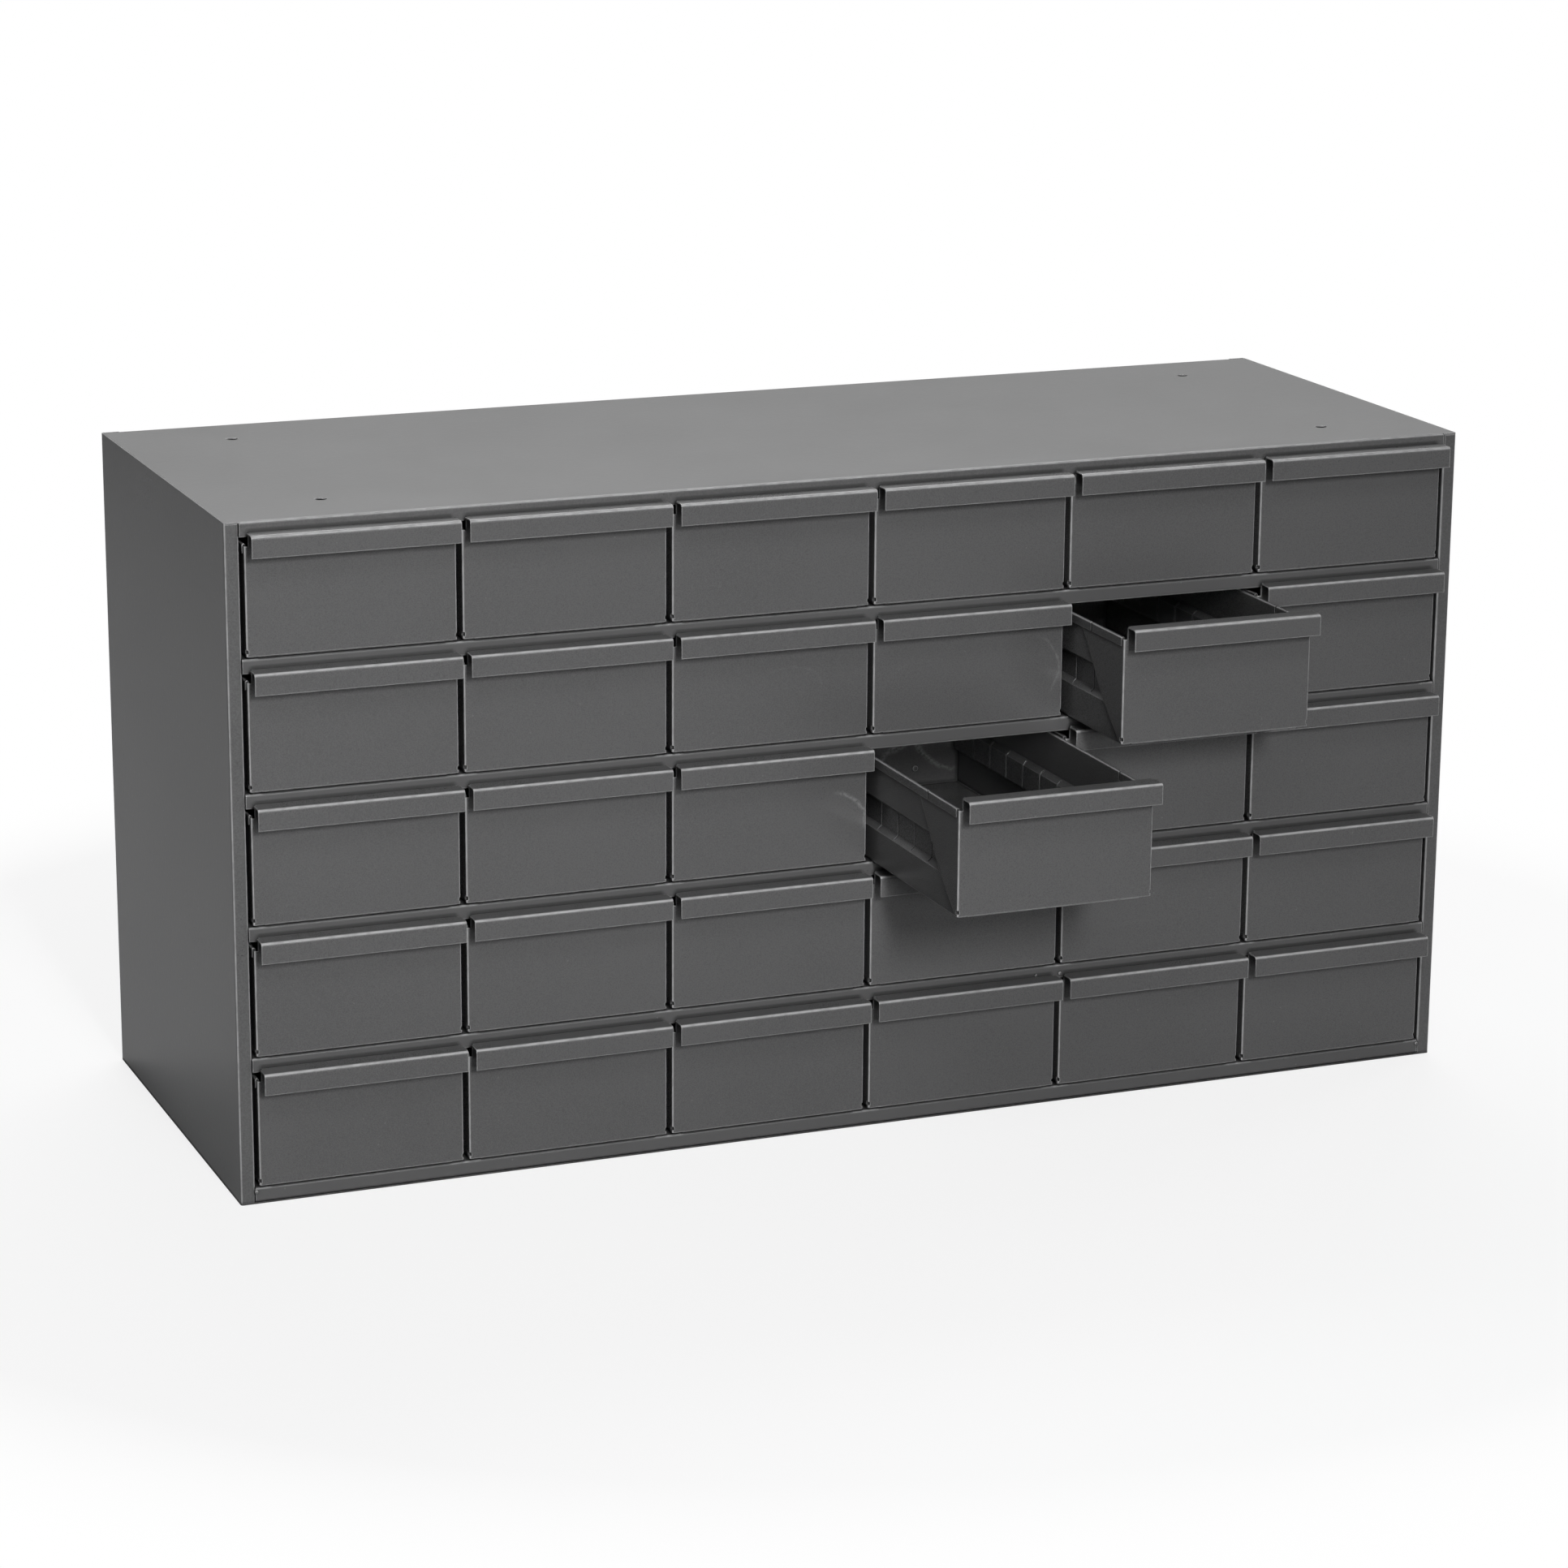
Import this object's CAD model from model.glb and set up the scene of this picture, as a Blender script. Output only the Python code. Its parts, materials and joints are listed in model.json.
import json
import math
from functools import reduce

import bpy
from mathutils import Matrix, Vector


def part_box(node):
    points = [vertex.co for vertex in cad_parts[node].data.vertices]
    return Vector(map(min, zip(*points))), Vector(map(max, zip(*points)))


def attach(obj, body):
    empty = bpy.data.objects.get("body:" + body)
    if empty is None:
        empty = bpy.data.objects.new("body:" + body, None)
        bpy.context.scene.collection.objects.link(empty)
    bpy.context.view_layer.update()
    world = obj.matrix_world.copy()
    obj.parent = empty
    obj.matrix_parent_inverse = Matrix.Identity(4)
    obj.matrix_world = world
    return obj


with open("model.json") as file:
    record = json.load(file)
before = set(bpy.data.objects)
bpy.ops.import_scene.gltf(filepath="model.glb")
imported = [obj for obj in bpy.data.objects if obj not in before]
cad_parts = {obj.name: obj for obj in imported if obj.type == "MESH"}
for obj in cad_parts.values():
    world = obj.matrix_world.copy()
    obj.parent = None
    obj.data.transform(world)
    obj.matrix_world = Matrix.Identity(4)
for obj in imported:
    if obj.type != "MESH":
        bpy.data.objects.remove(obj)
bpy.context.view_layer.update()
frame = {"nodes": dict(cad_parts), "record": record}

MM = 0.001
RECORD = frame["record"]
BODIES = RECORD["behaviour"]["bodies"]
DRAWER_BODIES = sorted(name for name in BODIES if name.startswith("drawer"))


# ---- Camera ----

CAMERA_AT = (-1.1298, -2.8079, 1.0205)
CAMERA_TURN = 21.97          # degrees to the right of straight on
CAMERA_TILT = 15.23          # degrees below level
CAMERA_ROLL = 0.38           # degrees
CAMERA_LENS = 104.9          # mm
SENSOR_WIDTH = 36.0          # mm
CLIP = (0.05, 60.0)          # nearest and farthest that is drawn, in metres


def set_camera():
    turn, tilt, roll = (math.radians(a) for a in (CAMERA_TURN, CAMERA_TILT, CAMERA_ROLL))
    ahead = Vector((math.sin(turn) * math.cos(tilt), math.cos(turn) * math.cos(tilt), -math.sin(tilt)))
    level = Vector((math.cos(turn), -math.sin(turn), 0.0))
    upright = level.cross(ahead)
    right = level * math.cos(roll) + upright * math.sin(roll)
    up = right.cross(ahead)
    data = bpy.data.cameras.new("camera")
    data.lens = CAMERA_LENS
    data.sensor_width = SENSOR_WIDTH
    data.clip_start, data.clip_end = CLIP
    camera = bpy.data.objects.new("camera", data)
    bpy.context.scene.collection.objects.link(camera)
    turned = Matrix((right, up, -ahead)).transposed()
    camera.matrix_world = Matrix.Translation(CAMERA_AT) @ turned.to_4x4()
    bpy.context.scene.camera = camera


# ---- Node helpers ----

FLOAT, VECTOR = "NodeSocketFloat", "NodeSocketVector"


def set_socket(tree, socket, value):
    """Links a socket to another one, or gives it a plain value."""
    if isinstance(value, bpy.types.NodeSocket):
        tree.links.new(value, socket)
    else:
        socket.default_value = value


def add_node(tree, kind, inputs=None, **settings):
    """Adds a node, sets its properties, and links or sets its inputs by name or number."""
    made = tree.nodes.new(kind)
    for name, value in settings.items():
        setattr(made, name, value)
    for name, value in (inputs or {}).items():
        set_socket(tree, made.inputs[name], value)
    return made


def calculate(tree, operation, *values):
    return add_node(tree, "ShaderNodeMath", dict(enumerate(values)), operation=operation).outputs[0]


def multiply(tree, *values):
    return reduce(lambda a, b: calculate(tree, "MULTIPLY", a, b), values)


def add(tree, *values):
    return reduce(lambda a, b: calculate(tree, "ADD", a, b), values)


def highest(tree, *values):
    return reduce(lambda a, b: calculate(tree, "MAXIMUM", a, b), values)


def subtract(tree, first, second):
    return calculate(tree, "SUBTRACT", first, second)


def vector_math(tree, operation, *values, result="Vector"):
    node = add_node(tree, "ShaderNodeVectorMath", dict(enumerate(values)), operation=operation)
    return node.outputs[result]


def split(tree, vector):
    """A vector's parts, by the names X, Y and Z."""
    return add_node(tree, "ShaderNodeSeparateXYZ", {0: vector}).outputs


def ramp(tree, value, low, high):
    """Smooth step of a value from 0 at low to 1 at high."""
    sockets = {"Value": value, "From Min": low, "From Max": high}
    return add_node(tree, "ShaderNodeMapRange", sockets, interpolation_type="SMOOTHSTEP").outputs["Result"]


def noise(tree, vector, scale, detail=2.0, roughness=0.5):
    """Noise from 0 to 1; the scale is about how many of its blotches lie in a metre."""
    sockets = {"Vector": vector, "Scale": scale, "Detail": detail, "Roughness": roughness}
    return add_node(tree, "ShaderNodeTexNoise", sockets).outputs["Fac"]


def blend_colours(tree, factor, first, second):
    """The first colour where the factor is 0, the second where it is 1."""
    mix = add_node(tree, "ShaderNodeMix", data_type="RGBA")
    for number, value in ((0, factor), (6, first), (7, second)):     # the node's sockets for colours
        set_socket(tree, mix.inputs[number], value)
    return mix.outputs[2]


def new_group(name, inputs, outputs):
    """A shader node group with named sockets; returns it with its input and output nodes."""
    group = bpy.data.node_groups.new(name, "ShaderNodeTree")
    for label, kind, value in inputs:
        socket = group.interface.new_socket(label, in_out="INPUT", socket_type=kind)
        if value is not None:
            socket.default_value = value
    for label, kind in outputs:
        group.interface.new_socket(label, in_out="OUTPUT", socket_type=kind)
    return group, group.nodes.new("NodeGroupInput"), group.nodes.new("NodeGroupOutput")


# ---- Effects that the finishes share ----

# Where a mask begins and where it is full
DOT = (0.14, 0.06)             # distance from a cell's middle, in cells
WORN_EDGE = (0.99, 0.80)       # cosine between the rounded normal and the flat one
BEND = (0.97, 0.82)            # largest part of a normal: 1 on a sheet that faces along an axis
LONG_BEND = (0.05, 0.2)        # part of a normal towards the front or back
TIGHT_GAP = (0.88, 0.72)       # how open a place is, from 0 to 1
SCUFF_LINE = (0.70, 0.74)      # noise
SCUFFED_PLACE = (0.60, 0.70)   # noise
ARC_END = (0.45, 0.85)         # cosine between a place's direction and the arc's
ARC_DEPTH = (0.006, 0.003)     # metres in front of or behind the sheet
DUSTY_SLOPE = (0.4, 0.95)      # upward part of a normal

PIT_DRAW, SPECK_DRAW = 0.92, 0.045     # a pit for a draw above the first, a speck for one below the second
FINE_HEIGHT, PIT_DEPTH = 0.18, 0.6     # as a share of the height of the paint's waves
THINNEST, THIN_CHANGE = 0.7, 0.3       # least wear, and what the patches add to it
KEPT_ROUNDING = 0.8
SCUFF_TURNS = ((0.35, 260.0), (-0.6, 340.0))     # turn in radians, lines in a metre
SCUFF_LENGTH = 12.0                    # in a metre, along the lines
ARC_WOBBLE = 0.006                     # metres


def make_enamel_grain():
    """Baked enamel: slow changes of shade, fine grain, stray specks, and the low waves of sprayed paint."""
    group, given, out = new_group(
        "enamel_grain",
        [("Vector", VECTOR, None), ("Mottle Scale", FLOAT, 9.0), ("Grain Scale", FLOAT, 2500.0),
         ("Speck Scale", FLOAT, 210.0)],
        [("Shade", FLOAT), ("Pits", FLOAT), ("Specks", FLOAT), ("Height", FLOAT)],
    )
    where = given.outputs["Vector"]
    slow = noise(group, where, given.outputs["Mottle Scale"], detail=3.0)
    fine = ramp(group, noise(group, where, given.outputs["Grain Scale"], detail=1.0), 0.24, 0.76)
    shade = add(group, multiply(group, slow, 0.5), multiply(group, fine, 0.5))
    # one dot in each cell; a draw for each cell keeps a few of them as dark pits and pale specks
    cells = add_node(group, "ShaderNodeTexVoronoi", {"Vector": where, "Scale": given.outputs["Speck Scale"]})
    draw = split(group, cells.outputs["Color"])["X"]
    dot = ramp(group, cells.outputs["Distance"], *DOT)
    pits = multiply(group, dot, calculate(group, "GREATER_THAN", draw, PIT_DRAW))
    specks = multiply(group, dot, calculate(group, "LESS_THAN", draw, SPECK_DRAW))
    peel = noise(group, where, 330.0, detail=2.0)
    height = add(group, peel, multiply(group, fine, FINE_HEIGHT))
    height = subtract(group, height, multiply(group, pits, PIT_DEPTH))
    for name, value in (("Shade", shade), ("Pits", pits), ("Specks", specks), ("Height", height)):
        group.links.new(value, out.inputs[name])
    return group


def make_edge_wear():
    """Paint that has run thin on cut edges and on bends, which show as fine pale lines."""
    group, given, out = new_group(
        "edge_wear",
        [("Vector", VECTOR, None), ("Radius", FLOAT, 0.0011), ("Bends", FLOAT, 1.0), ("Edges", FLOAT, 1.0),
         ("Long Bends", FLOAT, 1.0)],
        [("Bend Mask", FLOAT), ("Edge Mask", FLOAT), ("Normal", VECTOR)],
    )
    bevel = add_node(group, "ShaderNodeBevel", {"Radius": given.outputs["Radius"]}, samples=4)
    rounded = bevel.outputs["Normal"]
    shape = add_node(group, "ShaderNodeNewGeometry")
    flat = shape.outputs["True Normal"]
    edge = ramp(group, vector_math(group, "DOT_PRODUCT", rounded, flat, result="Value"), *WORN_EDGE)
    parts = split(group, flat)
    sizes = [calculate(group, "ABSOLUTE", parts[axis]) for axis in ("X", "Y", "Z")]
    bend = ramp(group, highest(group, *sizes), *BEND)
    # long bends run from front to back; where they don't count, the bead's flat slopes stay plain
    across = highest(group, ramp(group, sizes[1], *LONG_BEND), given.outputs["Long Bends"])
    bend = multiply(group, bend, across)
    patchy = ramp(group, noise(group, given.outputs["Vector"], 160.0, detail=3.0), 0.30, 0.62)
    thin = add(group, THINNEST, multiply(group, patchy, THIN_CHANGE))
    for name, mask, amount in (("Bend Mask", bend, "Bends"), ("Edge Mask", edge, "Edges")):
        group.links.new(multiply(group, mask, thin, given.outputs[amount]), out.inputs[name])
    # only part of the rounding is kept, so that an edge that faces away from the light stays pale
    kept = vector_math(group, "MULTIPLY", rounded, (KEPT_ROUNDING,) * 3)
    softened = vector_math(group, "NORMALIZE", vector_math(group, "ADD", kept, shape.outputs["Normal"]))
    group.links.new(softened, out.inputs["Normal"])
    return group


def make_gap_grime():
    """Dirt that gathers where two sheets meet, or nearly meet."""
    group, given, out = new_group(
        "gap_grime",
        [("Reach", FLOAT, 0.003), ("Amount", FLOAT, 1.0)],
        [("Mask", FLOAT)],
    )
    openness = add_node(group, "ShaderNodeAmbientOcclusion", {"Distance": given.outputs["Reach"]}, samples=4)
    near = ramp(group, openness.outputs["AO"], *TIGHT_GAP)
    group.links.new(multiply(group, near, given.outputs["Amount"]), out.inputs["Mask"])
    return group


def make_scuffs():
    """A few short, pale rub marks that run in slightly different directions."""
    group, given, out = new_group(
        "scuffs",
        [("Vector", VECTOR, None), ("Amount", FLOAT, 1.0)],
        [("Mask", FLOAT)],
    )
    where = given.outputs["Vector"]
    streaks = []
    for turn, closeness in SCUFF_TURNS:
        stretch = (SCUFF_LENGTH, SCUFF_LENGTH, closeness)
        turned = add_node(
            group, "ShaderNodeMapping",
            {"Vector": where, "Rotation": (turn, turn * 0.7, turn), "Scale": stretch},
        )
        streaks.append(ramp(group, noise(group, turned.outputs[0], 1.0, detail=2.0), *SCUFF_LINE))
    places = ramp(group, noise(group, where, 7.0, detail=1.0), *SCUFFED_PLACE)
    mask = multiply(group, highest(group, *streaks), places, given.outputs["Amount"])
    group.links.new(mask, out.inputs["Mask"])
    return group


def make_rub_arc():
    """One curved, whitish rub mark on an upright sheet: part of a ring about a centre."""
    group, given, out = new_group(
        "rub_arc",
        [("Vector", VECTOR, None), ("Centre", VECTOR, None), ("Towards", VECTOR, (0.7, 0.0, 0.7)),
         ("Radius", FLOAT, 0.012), ("Width", FLOAT, 0.0012), ("Amount", FLOAT, 0.5)],
        [("Mask", FLOAT)],
    )
    where = given.outputs["Vector"]
    offset = vector_math(group, "SUBTRACT", where, given.outputs["Centre"])
    flat = vector_math(group, "MULTIPLY", offset, (1.0, 0.0, 1.0))
    away = vector_math(group, "LENGTH", flat, result="Value")
    unit = vector_math(group, "NORMALIZE", flat)
    turned = vector_math(group, "DOT_PRODUCT", unit, given.outputs["Towards"], result="Value")
    wobble = subtract(group, noise(group, where, 90.0, detail=2.0), 0.5)
    away = add(group, away, multiply(group, wobble, ARC_WOBBLE))
    miss = calculate(group, "ABSOLUTE", subtract(group, away, given.outputs["Radius"]))
    ring = subtract(group, 1.0, calculate(group, "DIVIDE", miss, given.outputs["Width"]))
    ring = highest(group, ring, 0.0)
    depth = calculate(group, "ABSOLUTE", split(group, offset)["Y"])
    patchy = ramp(group, noise(group, where, 500.0, detail=3.0), 0.30, 0.60)
    mask = multiply(group, ring, ramp(group, turned, *ARC_END))
    mask = multiply(group, mask, ramp(group, depth, *ARC_DEPTH), patchy, given.outputs["Amount"])
    group.links.new(mask, out.inputs["Mask"])
    return group


def make_settled_dust():
    """A faint veil of dust on what faces up."""
    group, given, out = new_group(
        "settled_dust",
        [("Vector", VECTOR, None), ("Amount", FLOAT, 1.0)],
        [("Mask", FLOAT)],
    )
    upward = split(group, add_node(group, "ShaderNodeNewGeometry").outputs["True Normal"])["Z"]
    clouds = noise(group, given.outputs["Vector"], 26.0, detail=5.0, roughness=0.65)
    veil = multiply(group, ramp(group, upward, *DUSTY_SLOPE), ramp(group, clouds, 0.25, 0.8))
    group.links.new(multiply(group, veil, given.outputs["Amount"]), out.inputs["Mask"])
    return group


EFFECTS = {
    "grain": make_enamel_grain(),
    "edges": make_edge_wear(),
    "grime": make_gap_grime(),
    "scuffs": make_scuffs(),
    "rub": make_rub_arc(),
    "dust": make_settled_dust(),
}


def effect(tree, name, **inputs):
    """Adds a shared effect and returns its outputs; an input's name has _ for each space."""
    made = tree.nodes.new("ShaderNodeGroup")
    made.node_tree = EFFECTS[name]
    for label, value in inputs.items():
        set_socket(tree, made.inputs[label.replace("_", " ")], value)
    return made.outputs


# ---- Marks on the drawers ----

SHEET = 0.8 * MM                       # of the drawers
LIP_DEPTH = 14.5 * MM
ROW_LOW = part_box("drawer_r5_c1")[0].z
ROW_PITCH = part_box("drawer_r4_c1")[0].z - ROW_LOW
BEAD_BAND = (22.6 * MM, 45.4 * MM)     # above a drawer's underside

# Rub marks: node, side of the node, how far across and up it (share of its size), direction of the arc,
# radius and width in mm, amount.
RUB_MARKS = [
    ("drawer_r3_c3_front", "face", 0.84, 0.36, (0.80, 0, 0.60), 20.0, 1.8, 0.40),
    ("drawer_r2_c4_front", "face", 0.80, 0.42, (0.98, 0, 0.20), 24.0, 1.2, 0.30),
    ("drawer_r2_c3_front", "face", 0.60, 0.30, (0.30, 0, 0.95), 26.0, 1.0, 0.10),
    ("drawer_r2_c4_front", "face", 0.25, 0.20, (-0.40, 0, 0.90), 30.0, 1.0, 0.08),
    ("drawer_r3_c4_tray", "rear", 0.72, 0.12, (-0.50, 0, 0.86), 24.0, 2.4, 0.60),
    ("drawer_r3_c4_tray", "rear", 0.98, 0.62, (-0.80, 0, -0.60), 34.0, 2.6, 0.55),
    ("drawer_r3_c4_tray", "rear", 0.60, 0.62, (0.60, 0, -0.80), 18.0, 2.0, 0.45),
    ("drawer_r2_c5_tray", "rear", 0.80, 0.30, (-0.20, 0, 0.98), 20.0, 2.2, 0.40),
]


def off_the_bead(tree, where):
    """1 outside the heights of the bead in the drawers' walls, 0 at the bead."""
    height = subtract(tree, split(tree, where)["Z"], ROW_LOW)
    local = calculate(tree, "FLOORED_MODULO", height, ROW_PITCH)
    above = calculate(tree, "GREATER_THAN", local, BEAD_BAND[0])
    below = calculate(tree, "LESS_THAN", local, BEAD_BAND[1])
    return subtract(tree, 1.0, multiply(tree, above, below))


def rub_marks(tree, where):
    """The mask of all the rub marks on the drawers."""
    masks = []
    for node, side, across, up, towards, radius, width, amount in RUB_MARKS:
        low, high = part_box(node)
        y = low.y + LIP_DEPTH if side == "face" else high.y - SHEET
        centre = (low.x + (high.x - low.x) * across, y, low.z + (high.z - low.z) * up)
        mark = effect(
            tree, "rub", Vector=where, Centre=centre, Towards=towards,
            Radius=radius * MM, Width=width * MM, Amount=amount,
        )
        masks.append(mark["Mask"])
    return highest(tree, *masks)


# ---- Finishes ----

# How pale or dark each mark is, as a multiple of the enamel's own level
PIT_SHADE, SPECK_SHADE = 0.5, 2.6
BEND_SHADE, EDGE_SHADE = 4.6, 4.8
RUB_SHADE, GRIME_SHADE = 3.6, 0.12

DUST_LEVEL = 0.42
PIT_AMOUNT, SPECK_AMOUNT = 0.85, 0.5
EDGE_AMOUNT, SCUFF_AMOUNT, DUST_AMOUNT, GRIME_AMOUNT = 1.0, 0.05, 0.03, 0.9
WEAR_REACH = 1.1 * MM
GRIME_REACH = 3.0 * MM
GRAIN_ROUGHNESS, DUST_ROUGHNESS, GRIME_ROUGHNESS = 0.08, 0.9, 0.4
PEEL_DEPTH = 0.2 * MM

ENAMELS = {
    "carcass_enamel": {"level": 0.088, "grain_depth": 0.30, "grain_scale": 1000.0, "roughness": 0.26,
                       "bend_wear": 0.85, "peel": 0.20},
    "inner_enamel": {"level": 0.086, "grain_depth": 0.16, "grain_scale": 2500.0, "roughness": 0.26,
                     "bend_wear": 0.70, "peel": 0.08},
    "drawer_enamel": {"level": 0.090, "grain_depth": 0.14, "grain_scale": 2200.0, "roughness": 0.24,
                      "bend_wear": 1.00, "peel": 0.10, "rubbed": True},
}


def grey(level):
    return (level, level, level * 1.01, 1.0)


def make_enamel(name, level, grain_depth, grain_scale, roughness, bend_wear, peel, rubbed=False):
    """Semi-gloss grey enamel on sheet steel."""
    material = bpy.data.materials.new(name)
    material.use_nodes = True
    tree = material.node_tree
    surface = tree.nodes["Principled BSDF"]
    where = add_node(tree, "ShaderNodeTexCoord").outputs["Object"]
    grain = effect(tree, "grain", Vector=where, Grain_Scale=grain_scale)
    edges = effect(tree, "edges", Vector=where, Radius=WEAR_REACH, Bends=bend_wear, Edges=EDGE_AMOUNT)
    if rubbed:
        tree.links.new(off_the_bead(tree, where), edges["Bend Mask"].node.inputs["Long Bends"])
    marks = effect(tree, "scuffs", Vector=where, Amount=SCUFF_AMOUNT)["Mask"]
    if rubbed:
        marks = highest(tree, marks, rub_marks(tree, where))
    dust = effect(tree, "dust", Vector=where, Amount=DUST_AMOUNT)["Mask"]
    grime = effect(tree, "grime", Reach=GRIME_REACH, Amount=GRIME_AMOUNT)["Mask"]

    darkest, palest = grey(level * (1 - grain_depth)), grey(level * (1 + grain_depth))
    colour = blend_colours(tree, grain["Shade"], darkest, palest)
    for mask, shade in (
        (multiply(tree, grain["Pits"], PIT_AMOUNT), level * PIT_SHADE),
        (multiply(tree, grain["Specks"], SPECK_AMOUNT), level * SPECK_SHADE),
        (edges["Bend Mask"], level * BEND_SHADE),
        (edges["Edge Mask"], level * EDGE_SHADE),
        (marks, level * RUB_SHADE),
        (dust, DUST_LEVEL),
        (grime, level * GRIME_SHADE),
    ):
        colour = blend_colours(tree, mask, colour, grey(shade))
    tree.links.new(colour, surface.inputs["Base Color"])

    rough = add(
        tree, roughness,
        multiply(tree, grain["Shade"], GRAIN_ROUGHNESS),
        multiply(tree, dust, DUST_ROUGHNESS),
        multiply(tree, grime, GRIME_ROUGHNESS),
    )
    tree.links.new(rough, surface.inputs["Roughness"])

    bump = add_node(
        tree, "ShaderNodeBump",
        {"Strength": peel, "Distance": PEEL_DEPTH, "Height": grain["Height"], "Normal": edges["Normal"]},
    )
    tree.links.new(bump.outputs["Normal"], surface.inputs["Normal"])
    return material


FINISHES = {name: make_enamel(name, **look) for name, look in ENAMELS.items()}


def finish_nodes():
    for entry in RECORD["subparts"]:
        slots = frame["nodes"][entry["node"]].data.materials
        slots.clear()
        slots.append(FINISHES[entry["material_slot"]])


# ---- Spot welds ----

WELD_RADIUS = 2.2 * MM
WELD_RISE = 1.0 * MM
TACK_RADIUS = 1.3 * MM

# Two welds on each side of a drawer's middle: on its rear sheet, and on its bottom before that
REAR_WELD_OUT, REAR_WELD_UP = 34 * MM, 13 * MM
FLOOR_WELD_OUT, FLOOR_WELD_BEFORE = 30 * MM, 9 * MM

# Welds round the back: places from one corner to the other, how far the rows stop short of the corners,
# and how far they stand from the edges
BACK_COLUMNS, BACK_LEVELS = 9, 6
BACK_ROW_SHORT, BACK_COLUMN_SHORT = 40 * MM, 34 * MM
BACK_ROW_EDGE, BACK_COLUMN_EDGE = 5 * MM, 6 * MM

# Tacks on the front: two on the rail under row 4, and one at each end of the lowest rail
TACKED_RAIL_BELOW = 6.5 * MM           # under a drawer's underside
RAIL_TACKS = (-16 * MM, 2 * MM)        # from the middle of the gap between columns 4 and 5
PLINTH_TACK_IN, PLINTH_TACK_BELOW = 10.2 * MM, 3 * MM


def make_weld_tree():
    """Puts a spot weld's low bump on each point of a mesh, facing along the point's own direction."""
    tree = bpy.data.node_groups.new("spot_welds", "GeometryNodeTree")
    face = tree.interface
    face.new_socket("Geometry", in_out="INPUT", socket_type="NodeSocketGeometry")
    face.new_socket("Geometry", in_out="OUTPUT", socket_type="NodeSocketGeometry")
    for name, value in (("Weld Radius", WELD_RADIUS), ("Weld Rise", WELD_RISE)):
        face.new_socket(name, in_out="INPUT", socket_type=FLOAT).default_value = value
    face.new_socket("Finish", in_out="INPUT", socket_type="NodeSocketMaterial")
    given, out = tree.nodes.new("NodeGroupInput"), tree.nodes.new("NodeGroupOutput")
    radius, rise = given.outputs["Weld Radius"], given.outputs["Weld Rise"]
    ball = add_node(tree, "GeometryNodeMeshIcoSphere", {"Radius": 1.0, "Subdivisions": 3})
    size = add_node(tree, "ShaderNodeCombineXYZ", {"X": radius, "Y": radius, "Z": rise})
    bump = add_node(
        tree, "GeometryNodeTransform", {"Geometry": ball.outputs["Mesh"], "Scale": size.outputs["Vector"]},
    )
    facing = add_node(tree, "GeometryNodeInputNamedAttribute", {"Name": "facing"}, data_type="FLOAT_VECTOR")
    turn = add_node(
        tree, "FunctionNodeAlignRotationToVector",
        {"Vector": facing.outputs["Attribute"]}, axis="Z",
    )
    welds = add_node(
        tree, "GeometryNodeInstanceOnPoints",
        {
            "Points": given.outputs["Geometry"],
            "Instance": bump.outputs["Geometry"],
            "Rotation": turn.outputs["Rotation"],
        },
    )
    real = add_node(tree, "GeometryNodeRealizeInstances", {"Geometry": welds.outputs["Instances"]})
    done = add_node(
        tree, "GeometryNodeSetMaterial",
        {"Geometry": real.outputs["Geometry"], "Material": given.outputs["Finish"]},
    )
    tree.links.new(done.outputs["Geometry"], out.inputs["Geometry"])
    return tree


def set_input(modifier, tree, name, value):
    """Sets a Geometry Nodes modifier's input by its socket's identifier."""
    for item in tree.interface.items_tree:
        if item.item_type == "SOCKET" and item.in_out == "INPUT" and item.name == name:
            modifier[item.identifier] = value


def place_welds(name, body, slot, marks, tree, radius=WELD_RADIUS):
    """One mesh of spot welds for a body; marks are pairs of a point and the way it faces."""
    points = bpy.data.meshes.new(name + "_points")
    points.from_pydata([tuple(at) for at, _ in marks], [], [])
    facing = points.attributes.new("facing", "FLOAT_VECTOR", "POINT")
    for item, (_, way) in zip(facing.data, marks):
        item.vector = way
    seed = bpy.data.objects.new(name + "_points", points)
    bpy.context.scene.collection.objects.link(seed)
    modifier = seed.modifiers.new("spot_welds", "NODES")
    modifier.node_group = tree
    set_input(modifier, tree, "Finish", FINISHES[slot])
    set_input(modifier, tree, "Weld Radius", radius)
    shape = bpy.context.evaluated_depsgraph_get()
    mesh = bpy.data.meshes.new_from_object(seed.evaluated_get(shape))
    seed.modifiers.remove(modifier)
    bpy.data.objects.remove(seed)
    mesh.name = name
    piece = bpy.data.objects.new(name, mesh)
    bpy.context.scene.collection.objects.link(piece)
    mesh.shade_smooth()
    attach(piece, body)


def drawer_welds(low, high):
    """Welds of one drawer: its back is spotted to the walls' bottom, on the inside."""
    middle, rear, floor = (low.x + high.x) / 2, high.y - SHEET, low.z + SHEET
    marks = []
    for side in (-1, 1):
        marks.append((Vector((middle + side * REAR_WELD_OUT, rear, low.z + REAR_WELD_UP)), (0, -1, 0)))
        marks.append((Vector((middle + side * FLOOR_WELD_OUT, rear - FLOOR_WELD_BEFORE, floor)), (0, 0, 1)))
    return marks


def evenly(first, last, count):
    return [first + (last - first) * i / (count - 1) for i in range(count)]


def back_welds():
    """Welds that hold the back panel to the flanges round it."""
    low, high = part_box("side_panel_left")[0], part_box("side_panel_right")[1]
    places = []
    for x in evenly(low.x + BACK_ROW_SHORT, high.x - BACK_ROW_SHORT, BACK_COLUMNS):
        places += [(x, high.y, z) for z in (low.z + BACK_ROW_EDGE, high.z - BACK_ROW_EDGE)]
    for z in evenly(low.z + BACK_COLUMN_SHORT, high.z - BACK_COLUMN_SHORT, BACK_LEVELS):
        places += [(x, high.y, z) for x in (low.x + BACK_COLUMN_EDGE, high.x - BACK_COLUMN_EDGE)]
    return [(Vector(place), (0, 1, 0)) for place in places]


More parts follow.
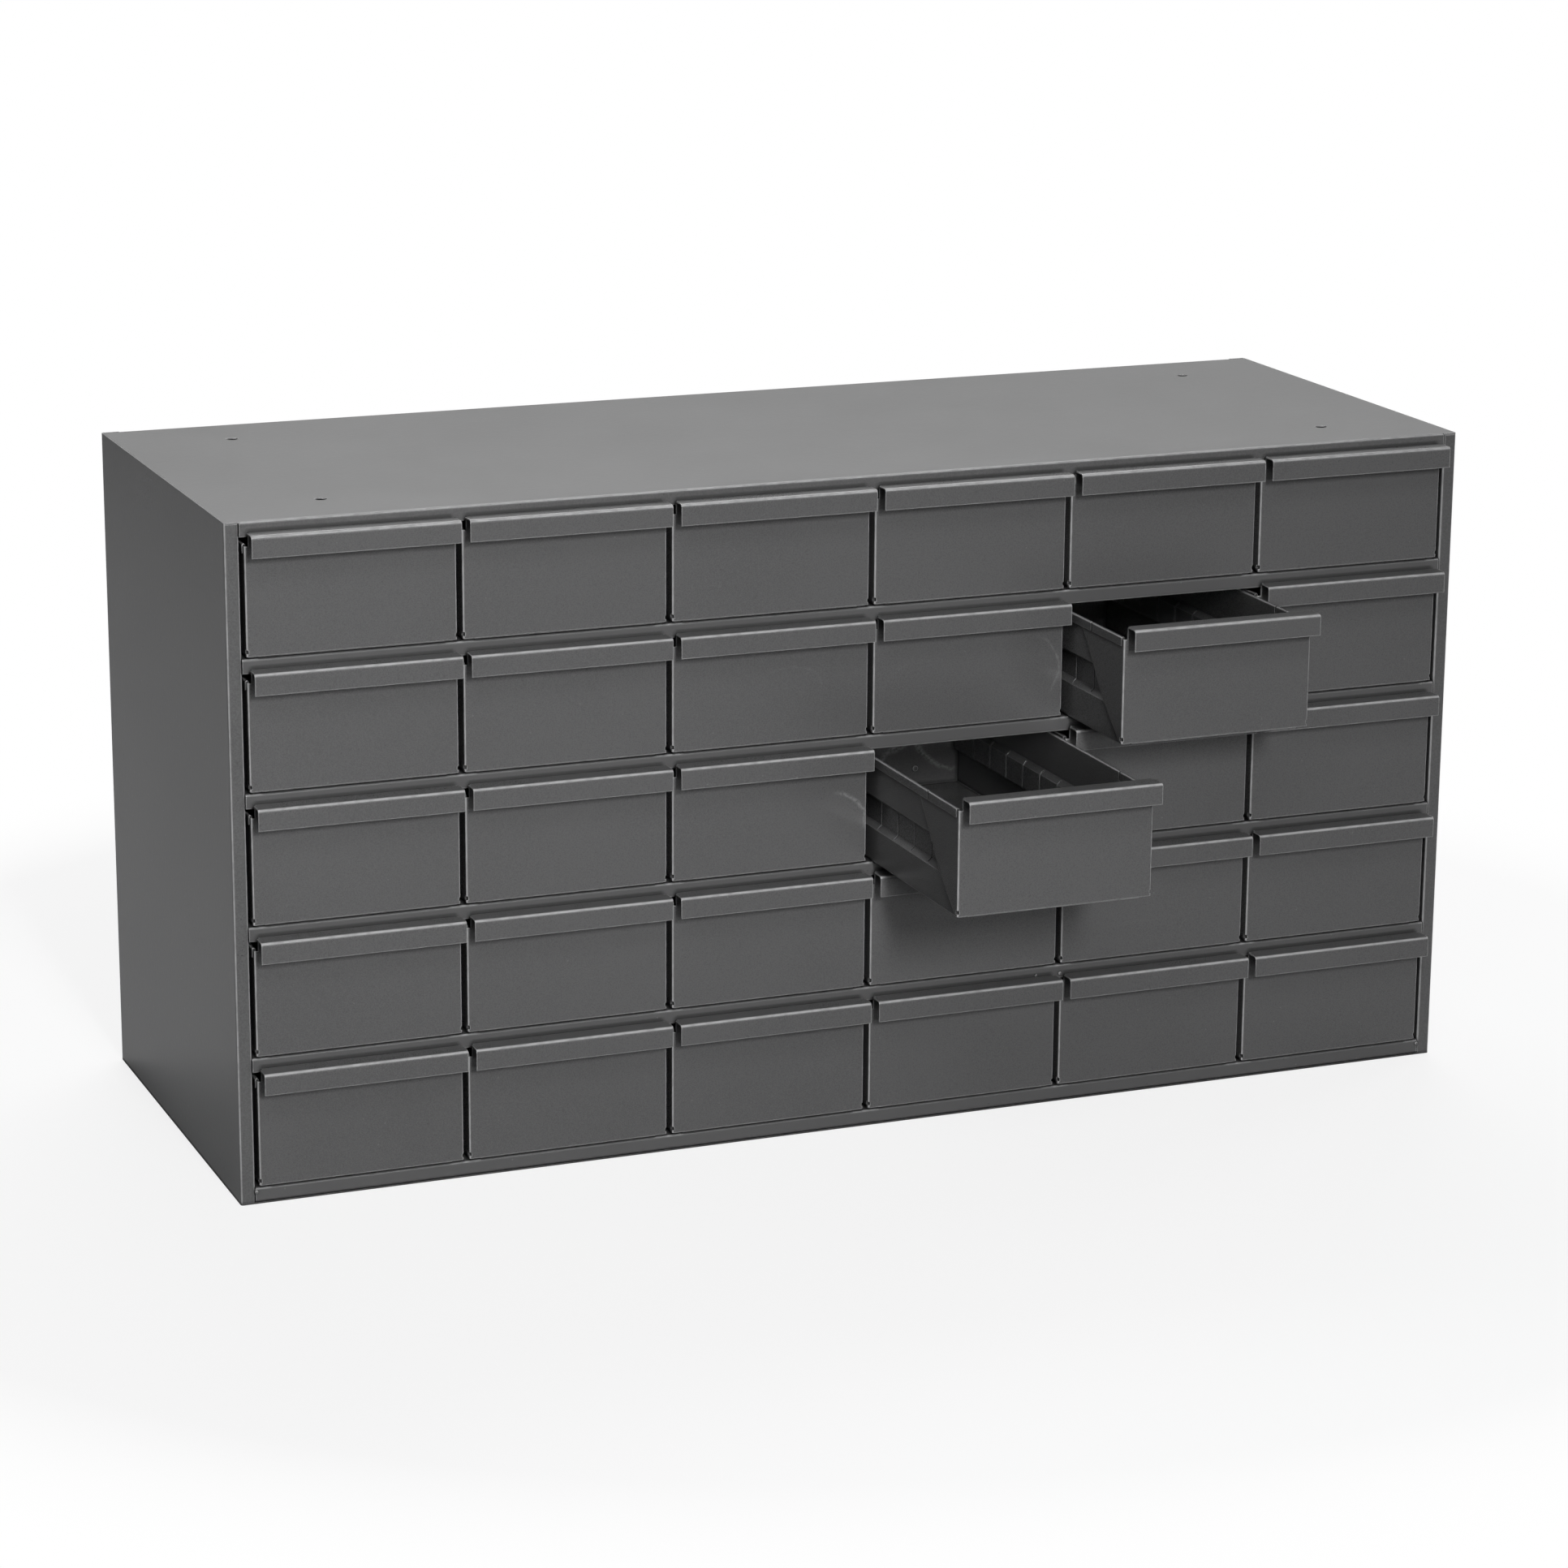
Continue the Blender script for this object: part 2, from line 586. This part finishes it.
def front_tacks():
    """Small tacks that show on the front, on two of the rails."""
    left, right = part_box("drawer_r4_c4"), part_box("drawer_r4_c5")
    gap = (left[1].x + right[0].x) / 2
    rail_front, frame_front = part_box("shelf_row4")[0].y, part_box("bottom_panel")[0].y
    places = [(gap + x, rail_front, left[0].z - TACKED_RAIL_BELOW) for x in RAIL_TACKS]
    low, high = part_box("side_panel_left")[0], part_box("side_panel_right")[1]
    for x in (low.x + PLINTH_TACK_IN, high.x - PLINTH_TACK_IN):
        places.append((x, frame_front, ROW_LOW - PLINTH_TACK_BELOW))
    return [(Vector(place), (0, -1, 0)) for place in places]


def weld_everything():
    tree = make_weld_tree()
    place_welds("front_tacks", "cabinet", "carcass_enamel", front_tacks(), tree, radius=TACK_RADIUS)
    place_welds("back_spot_welds", "cabinet", "carcass_enamel", back_welds(), tree)
    for body in DRAWER_BODIES:
        boxes = [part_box(name) for name in BODIES[body]]
        low = Vector(min(box[0][i] for box in boxes) for i in range(3))
        high = Vector(max(box[1][i] for box in boxes) for i in range(3))
        place_welds(body + "_spot_welds", body, "drawer_enamel", drawer_welds(low, high), tree)


# ---- Floor, light and background ----

WHITE = (1, 1, 1, 1)
FLOOR_HALF = 12.0              # metres
FLOOR_BELOW = 0.2 * MM         # keeps the floor from lying in one plane with the cabinet's underside
FLOOR_PAPER = 0.9              # the floor's level for the camera
FLOOR_BOUNCE = 0.08            # its level for the light that it sends back
FLOOR_GLOSS = 0.57             # its level in the enamel's gloss
FLOOR_ROUGHNESS = 0.85
FLOOR_FADE = (0.3, 0.9)        # metres from the cabinet's centre where the floor turns plain white
FLOOR_LIFT = 0.80              # how far the floor is plain white next to the cabinet

ROOM_LIGHT = 0.05
GLOSS_LIGHT = 0.60             # the bright band that the gloss sees
HORIZON = (-0.05, 0.15)        # sine of the elevation, over which the band begins
CEILING = (0.38, 0.75)         # and over which it turns into the dark ceiling
CEILING_DARKNESS = 0.85


def make_floor():
    mesh = bpy.data.meshes.new("floor")
    corners = [(x * FLOOR_HALF, y * FLOOR_HALF, 0) for x, y in ((-1, -1), (1, -1), (1, 1), (-1, 1))]
    mesh.from_pydata(corners, [], [(0, 1, 2, 3)])
    floor = bpy.data.objects.new("floor", mesh)
    bpy.context.scene.collection.objects.link(floor)
    floor.location.z = -FLOOR_BELOW
    material = bpy.data.materials.new("pale_floor")
    material.use_nodes = True
    tree = material.node_tree
    paper = tree.nodes["Principled BSDF"]
    paper.inputs["Roughness"].default_value = FLOOR_ROUGHNESS
    seen = add_node(tree, "ShaderNodeLightPath").outputs
    pale = blend_colours(tree, seen["Is Glossy Ray"], grey(FLOOR_BOUNCE), grey(FLOOR_GLOSS))
    pale = blend_colours(tree, seen["Is Camera Ray"], pale, grey(FLOOR_PAPER))
    tree.links.new(pale, paper.inputs["Base Color"])
    where = add_node(tree, "ShaderNodeTexCoord").outputs["Object"]
    away = vector_math(tree, "LENGTH", where, result="Value")
    far = highest(tree, ramp(tree, away, *FLOOR_FADE), FLOOR_LIFT)
    far = multiply(tree, far, seen["Is Camera Ray"])
    plain = add_node(tree, "ShaderNodeEmission", {"Color": WHITE, "Strength": 1.0}).outputs[0]
    mix = add_node(tree, "ShaderNodeMixShader", {0: far, 1: paper.outputs[0], 2: plain})
    tree.links.new(mix.outputs[0], tree.nodes["Material Output"].inputs["Surface"])
    mesh.materials.append(material)


def make_world():
    """White where the camera looks; for gloss a bright band above the horizon, under a dark ceiling."""
    world = bpy.data.worlds.new("studio")
    bpy.context.scene.world = world
    world.use_nodes = True
    tree = world.node_tree
    seen = add_node(tree, "ShaderNodeLightPath").outputs
    plain = highest(tree, seen["Is Camera Ray"], seen["Is Transmission Ray"])
    upward = split(tree, add_node(tree, "ShaderNodeTexCoord").outputs["Generated"])["Z"]
    ceiling = subtract(tree, 1.0, multiply(tree, ramp(tree, upward, *CEILING), CEILING_DARKNESS))
    gloss = multiply(tree, ramp(tree, upward, *HORIZON), GLOSS_LIGHT, ceiling, seen["Is Glossy Ray"])
    soft = multiply(tree, subtract(tree, 1.0, seen["Is Glossy Ray"]), ROOM_LIGHT)
    strength = add_node(tree, "ShaderNodeMix", {"Factor": plain, 2: add(tree, gloss, soft), 3: 1.0})
    background = tree.nodes["Background"]
    tree.links.new(strength.outputs[0], background.inputs["Strength"])
    background.inputs["Color"].default_value = WHITE


CENTRE, UPPER_LEFT = (0, 0, 0.22), (-0.40, -0.16, 0.42)
NARROW, WIDE = 60, 180         # degrees

# Softboxes: name, place, what it aims at, width and height in metres, watts, spread
SOFTBOXES = [
    ("key_softbox", (-0.45, -4.5, 2.15), UPPER_LEFT, 0.5, 0.9, 15.8, NARROW),
    ("low_softbox", (-0.60, -4.6, 1.05), UPPER_LEFT, 0.5, 0.4, 5.2, NARROW),
    ("upper_softbox", (-0.7, -1.9, 2.5), UPPER_LEFT, 1.4, 0.9, 16, WIDE),
    ("left_softbox", (-3.6, 0.2, 0.9), CENTRE, 0.9, 0.9, 2.5, WIDE),
    ("right_softbox", (3.4, 1.6, 1.3), CENTRE, 1.2, 0.9, 34, WIDE),
    ("back_softbox", (0.8, 2.1, 2.5), CENTRE, 2.4, 1.2, 60, WIDE),
]


def light_studio():
    for name, at, towards, width, height, power, spread in SOFTBOXES:
        data = bpy.data.lights.new(name, "AREA")
        data.shape = "RECTANGLE"
        data.size, data.size_y = width, height
        data.energy = power
        data.spread = math.radians(spread)
        lamp = bpy.data.objects.new(name, data)
        bpy.context.scene.collection.objects.link(lamp)
        lamp.location = at
        lamp.rotation_euler = (Vector(towards) - Vector(at)).to_track_quat("-Z", "Y").to_euler()


# ---- Making ----

set_camera()
make_floor()
make_world()
light_studio()
finish_nodes()
weld_everything()

bpy.context.scene.view_settings.view_transform = "Standard"
